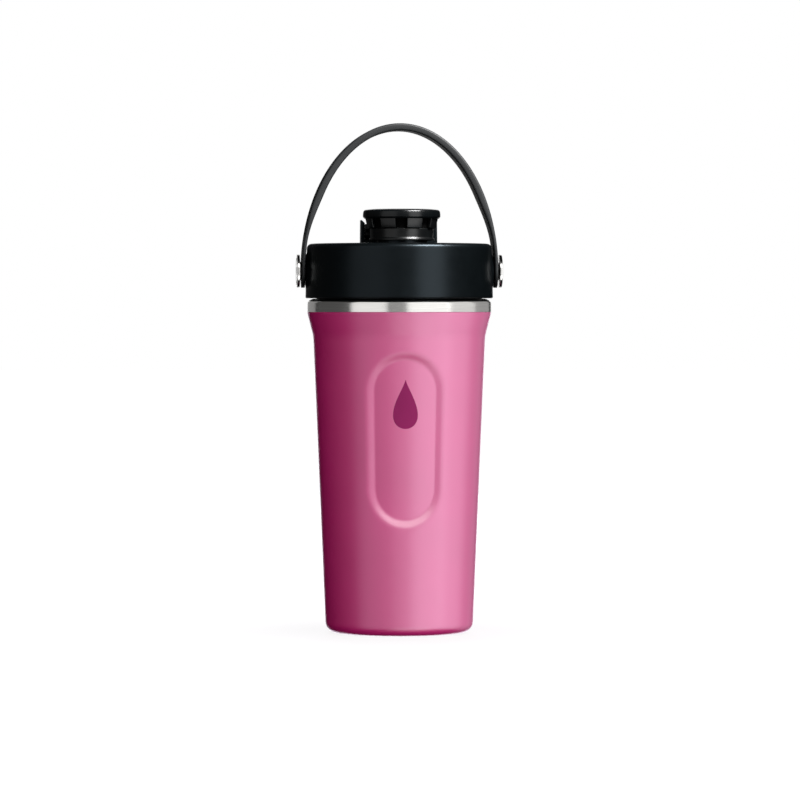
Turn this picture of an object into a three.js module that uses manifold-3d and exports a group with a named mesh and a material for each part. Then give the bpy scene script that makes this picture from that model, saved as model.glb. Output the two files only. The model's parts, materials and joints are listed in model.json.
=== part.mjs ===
// Insulated protein shaker bottle: a double-wall steel cup, a screw lid with a flip-cap spout and a
// swinging carry strap. Millimetres, +Z up. The origin is the middle of the base, the front faces -Y,
// the strap pivots lie on the X axis and the spout stands near the front, hinged behind it.
import * as THREE from 'three';
import { mergeVertices } from 'three/addons/utils/BufferGeometryUtils.js';
import Module from 'manifold-3d';

const wasm = await Module();
wasm.setup();

// ---- driving dimensions -------------------------------------------------------------------------
const GAP = 0.3;
const ROUND_STEPS = 36;
const SMALL_STEPS = 16;
const ARC_STEPS = 3;

// cup
const BASE_R = 37.03;
const BASE_FILLET = 6.5;
const WALL = 0.8;
const TAPER_TOP_R = 43.0;
const TAPER_TOP_Z = 146;
const FLARE_BEND = 2.6;
const FLARE_START_R = 43.9;
const FLARE_START_Z = 151.6;
const COAT_TOP_R = 46.15;
const COAT_TOP_Z = 159.9;
const BASE_HOLE_R = 26.6;
const LINER_INSET = 3.8;
const LINER_FLOOR_Z = 6.8;
const LINER_FILLET = 7.2;
const SHOULDER_Z = 151.5;
const SHOULDER_EASE = 0.6;
const BEND_EASE = 0.4;
const MOUTH_BEVEL = 0.5;
const MOUTH_R = 42.0;
const NECK_WALL = 0.6;
const RIM_R = 46.1;
const RIM_TOP_Z = 166.1;
const RIM_ROUND = 1.6;

// grip recesses pressed into the front and back of the outer shell
const GRIP_WIDTH = 36.4;
const GRIP_HEIGHT = 85.4;
const GRIP_DEPTH = 1.5;
const GRIP_CENTRE_Z = 95.5;

// screw thread between the lid and the mouth
const PITCH = 4;
const THREAD_TURN = 400;
const PLUG_CORE_R = 40.0;
const THREAD_MAJOR_R = 41.4;
const THREAD_MINOR_R = 40.6;
const MOUTH_THREAD_Z = 158.8;
const RIDGE_ROOT = 1.9;
const RIDGE_CREST = 0.9;
const RIDGE_SINK = 0.35;

// lid
const SKIRT_R = 47.0;
const SKIRT_Z = 167.3;
const SHOULDER_R = 46.3;
const LID_TOP_Z = 194.8;
const LID_CORNER = 3.8;
const LID_WALL = 2.4;
const SKIRT_BEVEL = 0.5;
const INNER_CORNER = 1.4;
const PLUG_BOTTOM_Z = 150.6;
const PLUG_NOSE_R = 38.7;
const GASKET_SEAT_Z = 153.5;
const PLUG_NECK_R = 41.5;
const WELD_FLANGE_Z = 169.6;
const WELD_FLANGE_R = 44.2;
const SPOUT_Y = -15.5;
const SPOUT_R = 12.6;
const SPOUT_BORE_R = 11.0;
const SPOUT_TOP_Z = 208.4;
const SPOUT_FOOT_R = 15;
const SPOUT_FOOT_T = 1.2;
const GRID_R = 37.6;
const GRID_Z = 143.5;
const GRID_PITCH = 13;

// flip cap
const CAP_R = 19.3;
const CAP_TOP_Z = 212;
const CAP_UNDER_Z = 207.2;
const CAP_EDGE = 1.3;
const CAP_WALL = 1.8;
const SLEEVE_R = 16;
const SLEEVE_BORE_R = 14.2;
const SLEEVE_BOTTOM_Z = 196;
const SLEEVE_STEP_Z = 202;
const TOOTH_COUNT = 8;
const TOOTH_SPAN = 28;
const TOOTH_PHASE = 23.3;
const TOOTH_TOP_R = 17;
const HINGE_Y = 4.6;
const HINGE_Z = 199.4;
const HINGE_PIN_R = 1;
const PIN_HALF = 18.4;
const BARREL_R = 3;
const BARREL_HALF = 16.8;
const ARM_HALF = 7;
const TOWER = { inX: 17.2, outX: 19.1, halfDepth: 4, outTopZ: 206.8, inTopZ: 205.4 };

// strap and its pivots
const PIVOT_Z = 180.9;
const BOSS_R = 7.3;
const BOSS_FACE_X = 47.8;
const BOSS_BACK_X = 42.9;
const STRAP_WIDTH = 16.7;
const STRAP_REACH_X = 49.2;
const STRAP_RISE = 73.8;
const STRAP_END_T = 1.1;
const STRAP_GRIP_T = 3.6;
const STRAP_GROW = { from: 8, to: 38 };
const STRAP_STEPS = 28;
const BUTTON_X = 50.2;
const BUSH_R = 4.6;
const POST_R = 2.4;
const BUTTON_R = 8.35;

// ---- helpers ------------------------------------------------------------------------------------
const radians = THREE.MathUtils.degToRad;

function solid(geometry) {
  geometry.deleteAttribute('normal');
  geometry.deleteAttribute('uv');
  const merged = mergeVertices(geometry);
  const corners = [];
  for (let i = 0; i < merged.index.count; i += 3) {
    const a = merged.index.getX(i);
    const b = merged.index.getX(i + 1);
    const c = merged.index.getX(i + 2);
    if (a !== b && b !== c && c !== a) {
      corners.push(a, b, c);
    }
  }
  return new wasm.Manifold(new wasm.Mesh({
    numProp: 3,
    vertProperties: new Float32Array(merged.attributes.position.array),
    triVerts: new Uint32Array(corners),
  }));
}

function geometryOf(manifold) {
  const mesh = manifold.getMesh();
  const geometry = new THREE.BufferGeometry();
  geometry.setAttribute('position', new THREE.BufferAttribute(mesh.vertProperties, 3));
  geometry.setIndex(new THREE.BufferAttribute(mesh.triVerts, 1));
  geometry.computeVertexNormals();
  return geometry;
}

// Turns an outline of [radius, height] points about the Z axis. It closes on itself or on the axis.
function turned(points, steps = ROUND_STEPS) {
  const outline = points.map((p) => (p.isVector2 ? p.clone() : new THREE.Vector2(p[0], p[1])));
  if (THREE.ShapeUtils.area(outline) < 0) {
    outline.reverse();
  }
  outline.push(outline[0].clone());
  const geometry = new THREE.LatheGeometry(outline, steps);
  geometry.rotateX(Math.PI / 2);
  return solid(geometry);
}

function box(lo, hi) {
  const size = hi.map((value, i) => value - lo[i]);
  const geometry = new THREE.BoxGeometry(size[0], size[1], size[2]);
  geometry.translate(lo[0] + size[0] / 2, lo[1] + size[1] / 2, lo[2] + size[2] / 2);
  return solid(geometry);
}

// A rod along X through (y, z) from one x to another.
function rodAlongX(radius, from, to, y, z, steps = SMALL_STEPS) {
  const geometry = new THREE.CylinderGeometry(radius, radius, to - from, steps);
  geometry.rotateZ(Math.PI / 2);
  geometry.translate((from + to) / 2, y, z);
  return solid(geometry);
}

// Pushes an outline drawn in (y, z) along X, centred on x = 0.
function plateAlongX(shape, width) {
  const geometry = new THREE.ExtrudeGeometry(shape, { depth: width, bevelEnabled: false, curveSegments: 8 });
  geometry.translate(0, 0, -width / 2);
  geometry.rotateY(Math.PI / 2);
  geometry.rotateX(Math.PI / 2);
  return solid(geometry);
}

// Pushes an outline drawn in (x, z) along Y, centred on y = 0.
function plateAlongY(shape, width) {
  const geometry = new THREE.ExtrudeGeometry(shape, { depth: width, bevelEnabled: false, curveSegments: 6 });
  geometry.translate(0, 0, -width / 2);
  geometry.rotateX(Math.PI / 2);
  return solid(geometry);
}

// A helical ridge from a root radius to a crest radius, fading out at both ends. An outward ridge is
// laid from its top end down, which keeps its faces pointing out.
function ridge(rootR, crestR, startZ) {
  const steps = Math.round((THREAD_TURN / 360) * ROUND_STEPS);
  const section = new THREE.Shape([
    new THREE.Vector2(0, -RIDGE_ROOT / 2),
    new THREE.Vector2(1, -RIDGE_CREST / 2),
    new THREE.Vector2(1, RIDGE_CREST / 2),
    new THREE.Vector2(0, RIDGE_ROOT / 2),
  ]);
  const geometry = new THREE.ExtrudeGeometry(section, { depth: 1, steps, bevelEnabled: false });
  const position = geometry.attributes.position;
  const sunkR = rootR + RIDGE_SINK * Math.sign(rootR - crestR);
  for (let i = 0; i < position.count; i += 1) {
    const along = crestR > rootR ? 1 - position.getZ(i) : position.getZ(i);
    const fade = Math.min(1, along * 10 + 0.05, (1 - along) * 10 + 0.05);
    const radius = position.getX(i) > 0.5 ? THREE.MathUtils.lerp(sunkR, crestR, fade) : sunkR;
    const angle = radians(THREAD_TURN * along + 180 / ROUND_STEPS);
    const height = startZ + position.getY(i) + (PITCH * THREAD_TURN * along) / 360;
    position.setXYZ(i, radius * Math.cos(angle), radius * Math.sin(angle), height);
  }
  return solid(geometry);
}

const root = new THREE.Group();

function add(name, manifold, look, parent = root) {
  const material = new THREE.MeshStandardMaterial(look);
  const mesh = new THREE.Mesh(geometryOf(manifold), material);
  mesh.name = name;
  parent.add(mesh);
  return mesh;
}

const COAT = { color: 0xc2529c, roughness: 0.55, metalness: 0.1 };
const STEEL = { color: 0xc4c4c2, roughness: 0.28, metalness: 1 };
const BLACK = { color: 0x17181a, roughness: 0.45, metalness: 0 };
const GLOSS_BLACK = { color: 0x121315, roughness: 0.18, metalness: 0 };
const STRAP_BLACK = { color: 0x1b1e20, roughness: 0.6, metalness: 0 };
const SILICONE = { color: 0x2a2b2d, roughness: 0.75, metalness: 0 };
const FOAM = { color: 0xe9e7e0, roughness: 0.95, metalness: 0 };

// ---- cup ----------------------------------------------------------------------------------------
const taper = (TAPER_TOP_R - BASE_R) / (TAPER_TOP_Z - BASE_FILLET);

function taperR(z) {
  return BASE_R + (z - BASE_FILLET) * taper;
}

// Outside of the coated shell, moved inwards by inset and carried up to the height top.
function shellOutline(inset, top) {
  const bendZ = TAPER_TOP_Z + FLARE_BEND;
  const path = new THREE.Path();
  path.moveTo(0, inset);
  path.lineTo(BASE_R - BASE_FILLET, inset);
  path.absarc(BASE_R - BASE_FILLET, BASE_FILLET, BASE_FILLET - inset, -Math.PI / 2, 0, false);
  path.lineTo(TAPER_TOP_R - inset, TAPER_TOP_Z);
  path.quadraticCurveTo(
    taperR(bendZ) - inset, bendZ, FLARE_START_R - inset, FLARE_START_Z);
  path.lineTo(COAT_TOP_R - inset, COAT_TOP_Z);
  path.lineTo(COAT_TOP_R - inset, top);
  path.lineTo(0, top);
  return path.getPoints(ARC_STEPS);
}

// A stadium-shaped block standing across one side of the shell, outside a cone inset from it.
function gripCutter(grow, depth, side) {
  const half = GRIP_WIDTH / 2 + grow;
  const straight = GRIP_HEIGHT / 2 - GRIP_WIDTH / 2;
  const shape = new THREE.Shape();
  shape.absarc(0, straight, half, 0, Math.PI, false);
  shape.absarc(0, -straight, half, Math.PI, 2 * Math.PI, false);
  const [nearY, farY] = [25, 55];
  const block = plateAlongY(shape, farY - nearY).translate([0, (-side * (nearY + farY)) / 2, GRIP_CENTRE_Z]);
  const floorCone = turned([
    [0, 0],
    [taperR(0) - depth, 0],
    [taperR(COAT_TOP_Z) - depth, COAT_TOP_Z],
    [0, COAT_TOP_Z],
  ]);
  return block.subtract(floorCone);
}

function outerShell() {
  let outside = turned(shellOutline(0, COAT_TOP_Z));
  let inside = turned(shellOutline(WALL, COAT_TOP_Z + 2));
  for (const side of [1, -1]) {
    outside = outside.subtract(gripCutter(0, GRIP_DEPTH, side));
    inside = inside.subtract(gripCutter(WALL, GRIP_DEPTH + WALL, side));
  }
  const baseHole = turned([[0, -1], [BASE_HOLE_R, -1], [BASE_HOLE_R, WALL + 1], [0, WALL + 1]]);
  return outside.subtract(inside).subtract(baseHole);
}

function innerLiner() {
  const bore = (z) => taperR(z) - LINER_INSET;
  const back = (z) => bore(z) + WALL;
  const cornerZ = LINER_FLOOR_Z + LINER_FILLET;
  const path = new THREE.Path();
  path.moveTo(0, LINER_FLOOR_Z);
  path.lineTo(bore(cornerZ) - LINER_FILLET, LINER_FLOOR_Z);
  path.absarc(bore(cornerZ) - LINER_FILLET, cornerZ, LINER_FILLET, -Math.PI / 2, 0, false);
  path.lineTo(bore(SHOULDER_Z - SHOULDER_EASE), SHOULDER_Z - SHOULDER_EASE);
  path.lineTo(bore(SHOULDER_Z) + BEND_EASE, SHOULDER_Z);
  path.lineTo(MOUTH_R - WALL, SHOULDER_Z);
  path.lineTo(MOUTH_R, SHOULDER_Z + WALL);
  path.lineTo(MOUTH_R, RIM_TOP_Z - MOUTH_BEVEL);
  path.lineTo(MOUTH_R + MOUTH_BEVEL, RIM_TOP_Z);
  path.absarc(RIM_R - RIM_ROUND, RIM_TOP_Z - RIM_ROUND, RIM_ROUND, Math.PI / 2, 0, true);
  path.lineTo(RIM_R, COAT_TOP_Z + GAP);
  path.lineTo(RIM_R - WALL, COAT_TOP_Z + GAP);
  path.lineTo(RIM_R - WALL, RIM_TOP_Z - RIM_ROUND);
  path.lineTo(RIM_R - RIM_ROUND, RIM_TOP_Z - WALL);
  path.lineTo(MOUTH_R + NECK_WALL, RIM_TOP_Z - WALL);
  path.lineTo(MOUTH_R + NECK_WALL, SHOULDER_Z + BEND_EASE);
  path.lineTo(MOUTH_R - BEND_EASE, SHOULDER_Z - WALL);
  path.lineTo(back(SHOULDER_Z - WALL), SHOULDER_Z - WALL);
  path.lineTo(back(cornerZ), cornerZ);
  path.absarc(bore(cornerZ) - LINER_FILLET, cornerZ, LINER_FILLET + WALL, 0, -Math.PI / 2, true);
  path.lineTo(0, LINER_FLOOR_Z - WALL);
  return turned(path.getPoints(ARC_STEPS)).add(ridge(MOUTH_R, THREAD_MINOR_R, MOUTH_THREAD_Z));
}

const cup = new THREE.Group();
root.add(cup);
add('outer_shell', outerShell(), COAT, cup);
add('inner_liner', innerLiner(), STEEL, cup);

// The recessed plate that closes the vacuum space, with its exhaust port, bead and cover disc.
const PLATE_Z = 1.6;
const PLATE_LIP_Z = 0.6;
const PLATE_LIP = 1.1;
const PORT_R = 1.8;
const lipR = BASE_HOLE_R - GAP;
const plate = [
  [PORT_R, PLATE_Z],
  [lipR - 2 * PLATE_LIP + GAP, PLATE_Z],
  [lipR - PLATE_LIP + 0.2, PLATE_LIP_Z],
  [lipR, PLATE_LIP_Z],
  [lipR, PLATE_Z],
  [lipR - PLATE_LIP, PLATE_Z + WALL],
  [PORT_R, PLATE_Z + WALL],
];
add('base_plate', turned(plate), STEEL, cup);
const BEAD_R = 1.4;
const portBead = [[0, PLATE_Z], [BEAD_R, PLATE_Z], [BEAD_R, PLATE_Z + 1], [0, PLATE_Z + 1.5]];
add('vacuum_port_bead', turned(portBead, SMALL_STEPS), GLOSS_BLACK, cup);
const COVER_DISC_R = 11;
const discTopZ = PLATE_Z - GAP;
const coverDisc = [
  [0, PLATE_LIP_Z],
  [COVER_DISC_R, PLATE_LIP_Z],
  [COVER_DISC_R, discTopZ - GAP],
  [COVER_DISC_R - GAP, discTopZ],
  [0, discTopZ],
];
add('base_cover_disc', turned(coverDisc), STEEL, cup);
const GETTER_R = 5;
const GETTER_X = 15;
const GETTER_TOP_Z = 5;
const GETTER_BEVEL = 0.6;
const getter = [
  [0, PLATE_Z + WALL + GAP],
  [GETTER_R, PLATE_Z + WALL + GAP],
  [GETTER_R, GETTER_TOP_Z - GETTER_BEVEL],
  [GETTER_R - GETTER_BEVEL, GETTER_TOP_Z],
  [0, GETTER_TOP_Z],
];
add('vacuum_getter', turned(getter, SMALL_STEPS), STEEL, cup).position.set(GETTER_X, 0, 0);

// ---- lid ----------------------------------------------------------------------------------------
const lid = new THREE.Group();
root.add(lid);

const gasket = [
  [PLUG_NOSE_R + 0.4, SHOULDER_Z + GAP],
  [THREAD_MAJOR_R - 0.2, SHOULDER_Z + GAP],
  [THREAD_MAJOR_R, SHOULDER_Z + 0.9],
  [PLUG_CORE_R, GASKET_SEAT_Z - GAP],
  [PLUG_NOSE_R + 0.4, GASKET_SEAT_Z - GAP],
];
add('lid_gasket', turned(gasket), SILICONE, lid);

// An upright hole through the lid on the spout's axis.
function spoutHole(radius) {
  const [low, high] = [PLUG_BOTTOM_Z - 5, LID_TOP_Z + 5];
  const rod = turned([[0, low], [radius, low], [radius, high], [0, high]]);
  return rod.translate([0, SPOUT_Y, 0]);
}

// The threaded plug: a shallow cup with a hole for the spout and a rib that holds the grid.
const PLUG_WALL = 2;
const RIB_R = 35.8;
const RIB_T = 1.2;
const RIB_DROP = 2.4;
function lidPlug() {
  const floorZ = PLUG_BOTTOM_Z + PLUG_WALL;
  const wallR = PLUG_CORE_R - PLUG_WALL;
  const outline = [
    [0, PLUG_BOTTOM_Z],
    [RIB_R - RIB_T, PLUG_BOTTOM_Z],
    [RIB_R - RIB_T, PLUG_BOTTOM_Z - RIB_DROP],
    [RIB_R, PLUG_BOTTOM_Z - RIB_DROP],
    [RIB_R, PLUG_BOTTOM_Z],
    [PLUG_NOSE_R, PLUG_BOTTOM_Z],
    [PLUG_NOSE_R, GASKET_SEAT_Z],
    [PLUG_CORE_R, GASKET_SEAT_Z],
    [PLUG_CORE_R, RIM_TOP_Z - 1.5],
    [PLUG_NECK_R, RIM_TOP_Z - 0.7],
    [PLUG_NECK_R, WELD_FLANGE_Z],
    [WELD_FLANGE_R, WELD_FLANGE_Z],
    [WELD_FLANGE_R, WELD_FLANGE_Z + 1.8],
    [wallR, WELD_FLANGE_Z + 1.8],
    [wallR, floorZ + PLUG_WALL],
    [wallR - PLUG_WALL, floorZ],
    [0, floorZ],
  ];
  const thread = ridge(PLUG_CORE_R, THREAD_MAJOR_R, MOUTH_THREAD_Z - PITCH / 2);
  return turned(outline).add(thread).subtract(spoutHole(SPOUT_R + GAP));
}
add('lid_plug', lidPlug(), BLACK, lid);

// The spout is a tube of its own, welded into the plug by a foot under its floor.
const LIP_ROUND = 0.5;
const footZ = PLUG_BOTTOM_Z - GAP;
const spoutTube = [
  [SPOUT_BORE_R, footZ - SPOUT_FOOT_T],
  [SPOUT_FOOT_R, footZ - SPOUT_FOOT_T],
  [SPOUT_FOOT_R, footZ],
  [SPOUT_R, footZ],
  [SPOUT_R, SPOUT_TOP_Z - LIP_ROUND],
  [SPOUT_R - LIP_ROUND, SPOUT_TOP_Z],
  [SPOUT_BORE_R + LIP_ROUND, SPOUT_TOP_Z],
  [SPOUT_BORE_R, SPOUT_TOP_Z - LIP_ROUND],
];
add('spout_tube', turned(spoutTube), BLACK, lid).position.y = SPOUT_Y;

// The foam that fills the plug round the spout.
const FOAM_GAP = 0.5;
const foamFoot = PLUG_BOTTOM_Z + PLUG_WALL + FOAM_GAP;
const foamR = PLUG_CORE_R - PLUG_WALL - FOAM_GAP;
const foamTop = LID_TOP_Z - LID_WALL - FOAM_GAP;
const insulation = [
  [0, foamFoot],
  [foamR - PLUG_WALL, foamFoot],
  [foamR, foamFoot + PLUG_WALL],
  [foamR, foamTop],
  [0, foamTop],
];
add('lid_insulation', turned(insulation).subtract(spoutHole(SPOUT_R + FOAM_GAP)), FOAM, lid);

function lidCover() {
  const path = new THREE.Path();
  path.moveTo(SKIRT_R - LID_WALL, SKIRT_Z);
  path.lineTo(SKIRT_R - SKIRT_BEVEL, SKIRT_Z);
  path.lineTo(SKIRT_R, SKIRT_Z + SKIRT_BEVEL);
  path.lineTo(SHOULDER_R, LID_TOP_Z - LID_CORNER);
  path.absarc(SHOULDER_R - LID_CORNER, LID_TOP_Z - LID_CORNER, LID_CORNER, 0, Math.PI / 2, false);
  path.lineTo(0, LID_TOP_Z);
  path.lineTo(0, LID_TOP_Z - LID_WALL);
  path.lineTo(SHOULDER_R - LID_WALL - INNER_CORNER, LID_TOP_Z - LID_WALL);
  path.lineTo(SHOULDER_R - LID_WALL, LID_TOP_Z - LID_WALL - INNER_CORNER);
  let made = turned(path.getPoints(ARC_STEPS)).subtract(spoutHole(SPOUT_R + 2 * GAP));
  for (const side of [1, -1]) {
    const boss = side > 0 ? [BOSS_BACK_X, BOSS_FACE_X] : [-BOSS_FACE_X, -BOSS_BACK_X];
    made = made.add(rodAlongX(BOSS_R, boss[0], boss[1], 0, PIVOT_Z));
    made = made.add(hingeTower(side));
    const hole = side > 0 ? [BOSS_BACK_X - 1, BOSS_FACE_X + 1] : [-BOSS_FACE_X - 1, -BOSS_BACK_X + 1];
    made = made.subtract(rodAlongX(BUSH_R + GAP, hole[0], hole[1], 0, PIVOT_Z));
  }
  return made.subtract(rodAlongX(HINGE_PIN_R + GAP, -PIN_HALF - GAP, PIN_HALF + GAP, HINGE_Y, HINGE_Z));
}

// A tower at one end of the hinge barrel, with a top that slopes inwards.
function hingeTower(side) {
  const shape = new THREE.Shape();
  shape.moveTo(side * TOWER.inX, LID_TOP_Z - 1);
  shape.lineTo(side * TOWER.outX, LID_TOP_Z - 1);
  shape.lineTo(side * TOWER.outX, TOWER.outTopZ);
  shape.lineTo(side * TOWER.inX, TOWER.inTopZ);
  shape.closePath();
  return plateAlongY(shape, 2 * TOWER.halfDepth).translate([0, HINGE_Y, 0]);
}
add('lid_cover', lidCover(), BLACK, lid);

// The grid that breaks up lumps, held in a ring that snaps round the rib under the plug.
const GRID_RING_T = 1.5;
const GRID_PLATE_T = 2;
const GRID_BAR = 2;
function mixingGrid() {
  const plateTop = GRID_Z + GRID_PLATE_T;
  const barHalf = GRID_BAR / 2;
  const ring = turned([
    [GRID_R - GRID_RING_T, GRID_Z],
    [GRID_R, GRID_Z],
    [GRID_R, PLUG_BOTTOM_Z - GAP],
    [GRID_R - GRID_RING_T, PLUG_BOTTOM_Z - GAP],
  ]);
  let bars = box([-GRID_R, -barHalf, GRID_Z], [GRID_R, barHalf, plateTop]);
  for (let i = -2; i <= 2; i += 1) {
    const at = i * GRID_PITCH;
    bars = bars.add(box([at - barHalf, -GRID_R, GRID_Z], [at + barHalf, GRID_R, plateTop]));
    bars = bars.add(box([-GRID_R, at - barHalf, GRID_Z], [GRID_R, at + barHalf, plateTop]));
  }
  const barR = GRID_R - GRID_RING_T / 2;
  const disc = turned([[0, GRID_Z - 1], [barR, GRID_Z - 1], [barR, plateTop + 1], [0, plateTop + 1]]);
  return bars.intersect(disc).add(ring);
}
add('mixing_grid', mixingGrid(), BLACK, lid);

// ---- flip cap -----------------------------------------------------------------------------------
const cap = new THREE.Group();
lid.add(cap);

// The arm that carries the cap's flange on its hinge barrel, just behind the sleeve.
function hingeArm() {
  const frontY = SPOUT_Y + SLEEVE_R + GAP;
  const topZ = CAP_UNDER_Z + 0.3;
  const shape = new THREE.Shape();
  shape.moveTo(HINGE_Y - BARREL_R / 2, HINGE_Z);
  shape.lineTo(HINGE_Y + BARREL_R, HINGE_Z);
  shape.lineTo(HINGE_Y + BARREL_R - 0.6, HINGE_Z + 3.6);
  shape.lineTo(HINGE_Y - 1.8, topZ);
  shape.lineTo(frontY, topZ);
  shape.lineTo(frontY, HINGE_Z + BARREL_R - 0.6);
  shape.closePath();
  const barrel = rodAlongX(BARREL_R, -BARREL_HALF, BARREL_HALF, HINGE_Y, HINGE_Z);
  return plateAlongX(shape, 2 * ARM_HALF).add(barrel);
}

function spoutCap() {
  const path = new THREE.Path();
  const edgeR = CAP_R - CAP_EDGE;
  const hollowR = SLEEVE_R - 0.7;
  const ceilingZ = CAP_TOP_Z - CAP_WALL;
  path.moveTo(0, CAP_TOP_Z);
  path.lineTo(edgeR, CAP_TOP_Z);
  path.absarc(edgeR, CAP_TOP_Z - CAP_EDGE, CAP_EDGE, Math.PI / 2, 0, true);
  path.absarc(edgeR, CAP_UNDER_Z + CAP_EDGE, CAP_EDGE, 0, -Math.PI / 2, true);
  path.lineTo(hollowR, CAP_UNDER_Z);
  path.lineTo(hollowR, ceilingZ);
  path.lineTo(0, ceilingZ);
  let made = turned(path.getPoints(2));
  const collar = turned([
    [hollowR, SLEEVE_STEP_Z + GAP],
    [SLEEVE_R, SLEEVE_STEP_Z + GAP],
    [TOOTH_TOP_R, CAP_UNDER_Z + 0.2],
    [hollowR, CAP_UNDER_Z + 0.2],
  ]);
  for (let i = 0; i < TOOTH_COUNT; i += 1) {
    made = made.add(collar.intersect(wedge(TOOTH_SPAN, TOOTH_PHASE - 90 + (360 / TOOTH_COUNT) * i)));
  }
  const bore = BARREL_HALF + 1;
  made = made.translate([0, SPOUT_Y, 0]).add(hingeArm());
  return made.subtract(rodAlongX(HINGE_PIN_R + GAP, -bore, bore, HINGE_Y, HINGE_Z));
}

// A slice of the space round the axis, spanning an angle about a direction.
function wedge(span, direction) {
  const reach = 30;
  const half = radians(span / 2);
  const shape = new THREE.Shape([
    new THREE.Vector2(0, 0),
    new THREE.Vector2(reach * Math.cos(half), -reach * Math.sin(half)),
    new THREE.Vector2(reach * Math.cos(half), reach * Math.sin(half)),
  ]);
  const geometry = new THREE.ExtrudeGeometry(shape, { depth: 20, bevelEnabled: false });
  geometry.rotateZ(radians(direction));
  geometry.translate(0, 0, SLEEVE_BOTTOM_Z);
  return solid(geometry);
}
add('spout_cap', spoutCap(), BLACK, cap);

const thinR = SLEEVE_R - 1;
const innerTopZ = CAP_TOP_Z - CAP_WALL - GAP;
const sleeve = [
  [SLEEVE_BORE_R, SLEEVE_BOTTOM_Z],
  [SLEEVE_R - 0.4, SLEEVE_BOTTOM_Z],
  [SLEEVE_R, SLEEVE_BOTTOM_Z + 0.4],
  [SLEEVE_R, SLEEVE_STEP_Z],
  [thinR, SLEEVE_STEP_Z],
  [thinR, innerTopZ],
  [SLEEVE_BORE_R, innerTopZ],
];
add('cap_sleeve', turned(sleeve), GLOSS_BLACK, cap).position.y = SPOUT_Y;
const faceSeal = [
  [0, SPOUT_TOP_Z + GAP],
  [SLEEVE_BORE_R - GAP, SPOUT_TOP_Z + GAP],
  [SLEEVE_BORE_R - GAP, innerTopZ],
  [0, innerTopZ],
];
add('spout_gasket', turned(faceSeal), SILICONE, cap).position.y = SPOUT_Y;

const pin = [[0, -PIN_HALF], [HINGE_PIN_R, -PIN_HALF], [HINGE_PIN_R, PIN_HALF], [0, PIN_HALF]];
const hingePin = add('cap_hinge_pin', turned(pin, SMALL_STEPS), STEEL, lid);
hingePin.rotation.y = Math.PI / 2;
hingePin.position.set(0, HINGE_Y, HINGE_Z);

// ---- carry strap and its pivots -----------------------------------------------------------------
// Half an ellipse in the XZ plane, thin at the pivots and thicker where it is held.
function carryStrap() {
  const outer = [];
  const inner = [];
  for (let i = 0; i <= STRAP_STEPS; i += 1) {
    const angle = (Math.PI * i) / STRAP_STEPS;
    const x = STRAP_REACH_X * Math.cos(angle);
    const rise = STRAP_RISE * Math.sin(angle);
    const normal = new THREE.Vector2(Math.cos(angle) / STRAP_REACH_X, Math.sin(angle) / STRAP_RISE);
    normal.normalize();
    const grow = THREE.MathUtils.smoothstep(rise, STRAP_GROW.from, STRAP_GROW.to);
    const thick = THREE.MathUtils.lerp(STRAP_END_T, STRAP_GRIP_T, grow);
    outer.push(new THREE.Vector2(x, PIVOT_Z + rise));
    inner.unshift(new THREE.Vector2(x - normal.x * thick, PIVOT_Z + rise - normal.y * thick));
  }
  const tab = STRAP_WIDTH / 2;
  const [rightIn, leftIn] = [STRAP_REACH_X - STRAP_END_T, STRAP_END_T - STRAP_REACH_X];
  const shape = new THREE.Shape([
    new THREE.Vector2(STRAP_REACH_X, PIVOT_Z - tab),
    ...outer,
    new THREE.Vector2(-STRAP_REACH_X, PIVOT_Z - tab),
    new THREE.Vector2(leftIn, PIVOT_Z - tab),
    ...inner,
    new THREE.Vector2(rightIn, PIVOT_Z - tab),
  ]);
  const band = plateAlongY(shape, STRAP_WIDTH);
  const side = new THREE.Shape();
  side.absarc(0, PIVOT_Z, tab, Math.PI, 2 * Math.PI, false);
  side.lineTo(tab, PIVOT_Z + STRAP_RISE + 5);
  side.lineTo(-tab, PIVOT_Z + STRAP_RISE + 5);
  side.closePath();
  const reach = STRAP_REACH_X + 5;
  return band
    .intersect(plateAlongX(side, 2 * reach))
    .subtract(rodAlongX(BUSH_R + GAP, -reach, reach, 0, PIVOT_Z));
}
add('carry_strap', carryStrap(), STRAP_BLACK, lid);

// Outlines of [radius, distance from the bottle's axis], turned about the pivot axis.
const STEM = 0.5;
const HEAD_R = 5;
const HEAD_T = 2.4;
const HEAD_BEVEL = 0.4;
const headX = BOSS_BACK_X - GAP;
const POST = [
  [0, headX - HEAD_T],
  [HEAD_R - HEAD_BEVEL, headX - HEAD_T],
  [HEAD_R, headX - HEAD_T + HEAD_BEVEL],
  [HEAD_R, headX],
  [POST_R, headX],
  [POST_R, BUTTON_X - STEM - GAP],
  [0, BUTTON_X - STEM - GAP],
];
const BUSH = [
  [POST_R + GAP, BOSS_BACK_X + GAP],
  [BUSH_R, BOSS_BACK_X + GAP],
  [BUSH_R, BUTTON_X - GAP],
  [POST_R + GAP, BUTTON_X - GAP],
];
const BUTTON_T = 0.8;
const BUTTON_BEVEL = 0.35;
const HUB_R = 5.4;
const HUB_T = 1.3;
const SOCKET_R = 2.4;
const SOCKET_DEPTH = 0.9;
const BUTTON = [
  [0, BUTTON_X - STEM],
  [POST_R - GAP, BUTTON_X - STEM],
  [POST_R - GAP, BUTTON_X],
  [BUTTON_R, BUTTON_X],
  [BUTTON_R, BUTTON_X + BUTTON_T - BUTTON_BEVEL],
  [BUTTON_R - BUTTON_BEVEL, BUTTON_X + BUTTON_T],
  [HUB_R + BUTTON_BEVEL, BUTTON_X + BUTTON_T],
  [HUB_R, BUTTON_X + HUB_T],
  [0, BUTTON_X + HUB_T],
];

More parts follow.
